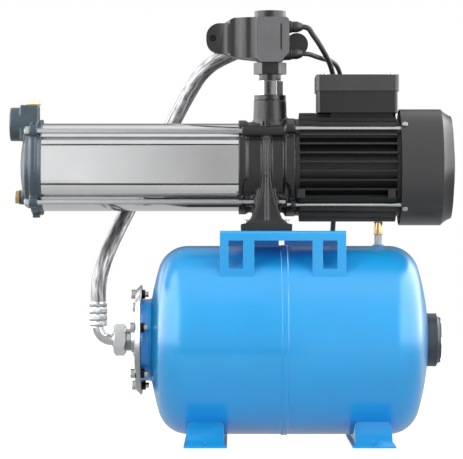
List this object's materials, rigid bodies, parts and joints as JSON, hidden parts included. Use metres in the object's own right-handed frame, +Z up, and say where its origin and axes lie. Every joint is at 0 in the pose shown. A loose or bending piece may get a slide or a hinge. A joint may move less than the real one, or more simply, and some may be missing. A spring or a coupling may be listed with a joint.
{
  "type": "pressure booster set with horizontal multistage pump",
  "caption": "Horizontal multistage pump with finned motor on a blue horizontal pressure tank, with braided hose, pressure controller, brass plugs and leads.",
  "frame": {"origin": "on the floor, in the middle of the four foot bolt holes", "axes": "+X along the pump shaft towards the motor's fan, +Y to the back, where the hose passes the barrel, +Z up"},
  "size_m": [0.6593, 0.4156, 0.6415],
  "materials": {
    "blue_enamel": "glossy blue stove enamel",
    "cast_iron_blue_grey": "blue-grey painted casting",
    "cast_iron_black": "black painted casting",
    "polished_stainless": "mirror-polished stainless steel",
    "stainless": "satin stainless steel",
    "zinc_plate": "bright zinc plate",
    "chrome_plate": "chrome plate",
    "steel_braid": "stainless wire braid",
    "motor_black": "satin black paint on die-cast aluminium",
    "cover_black": "satin black pressed steel",
    "core_steel": "varnished lamination stack",
    "copper_wire": "varnished copper wire",
    "bearing_steel": "ground bearing steel",
    "brass": "turned brass",
    "black_plastic": "black moulded plastic",
    "grey_plastic": "dark grey moulded plastic",
    "red_plastic": "red push button",
    "pale_nylon": "pale moulded nylon",
    "black_rubber": "moulded rubber",
    "seal_ceramic": "ground ceramic"
  },
  "bodies": {
    "frame": {"tank_half_valve_side": "blue_enamel", "tank_half_flange_side": "blue_enamel", "tank_foot_left": "blue_enamel", "tank_foot_right": "blue_enamel", "pump_bracket": "blue_enamel", "suction_casing": "cast_iron_blue_grey", "motor_lantern": "cast_iron_black", "pump_shell": "polished_stainless", "stage_bowls": "stainless", "stage_diffusers": "stainless", "flow_valve_spring": "stainless", "tank_counterflange": "zinc_plate", "tie_rods": "zinc_plate", "motor_stay_rods": "zinc_plate", "hex_bolts": "zinc_plate", "hex_nuts": "zinc_plate", "case_screws": "zinc_plate", "discharge_nipple": "chrome_plate", "union_nut": "chrome_plate", "hose_elbow_tank": "chrome_plate", "hose_elbow_controller": "chrome_plate", "hose_ferrules": "chrome_plate", "braided_hose": "steel_braid", "motor_frame": "motor_black", "rear_shield": "motor_black", "front_shield": "motor_black", "fan_cover": "cover_black", "stator_core": "core_steel", "stator_windings": "copper_wire", "motor_bearings": "bearing_steel", "air_valve_stem": "brass", "support_pillar": "brass", "terminal_box": "black_plastic", "terminal_box_lid": "black_plastic", "cable_glands": "black_plastic", "start_capacitor": "black_plastic", "terminal_strip": "black_plastic", "controller_body": "grey_plastic", "controller_cover": "grey_plastic", "pillar_foot": "pale_nylon", "tank_membrane": "black_rubber", "nipple_seals": "black_rubber", "plug_washers": "black_rubber", "pump_lead": "black_rubber", "mains_lead": "black_rubber", "mains_coil": "black_rubber", "mains_plug": "black_rubber", "shaft_seal_seat": "seal_ceramic"},
    "rotor": {"rotor_shaft": "stainless", "rotor_core": "core_steel", "impellers": "stainless", "impeller_spacers": "stainless", "shaft_seal_ring": "seal_ceramic", "cooling_fan": "black_plastic"},
    "flow_valve": {"flow_valve": "grey_plastic"},
    "reset_button": {"reset_button": "red_plastic"},
    "air_valve_pin": {"air_valve_pin": "brass"},
    "air_valve_cap": {"air_valve_cap": "black_plastic"},
    "prime_plug": {"prime_plug": "brass"},
    "drain_plug": {"drain_plug": "brass"}
  },
  "joints": [
    {"name": "rotor_spin", "type": "hinge", "parent": "frame", "child": "rotor", "pos_m": [0, 0, 0.409], "axis": [1, 0, 0], "continuous": true},
    {"name": "flow_valve_lift", "type": "slide", "parent": "frame", "child": "flow_valve", "axis": [0, 0, 1], "range_m": [0, 0.008], "stiffness_N_per_m": 60, "springref_m": -0.01, "deforming": ["flow_valve_spring"]},
    {"name": "reset_press", "type": "slide", "parent": "frame", "child": "reset_button", "axis": [0, -1, 0], "range_m": [0, 0.0025], "stiffness_N_per_m": 400, "springref_m": -0.0005},
    {"name": "air_valve_press", "type": "slide", "parent": "frame", "child": "air_valve_pin", "axis": [-1, 0, 0], "range_m": [0, 0.0015], "stiffness_N_per_m": 300, "springref_m": -0.0005},
    {"name": "air_cap_off", "type": "slide", "parent": "frame", "child": "air_valve_cap", "axis": [1, 0, 0], "range_m": [0, 0.03]},
    {"name": "prime_plug_out", "type": "slide", "parent": "frame", "child": "prime_plug", "axis": [0, 0, 1], "range_m": [0, 0.014]},
    {"name": "drain_plug_out", "type": "slide", "parent": "frame", "child": "drain_plug", "axis": [-1, 0, 0], "range_m": [0, 0.014]}
  ]
}
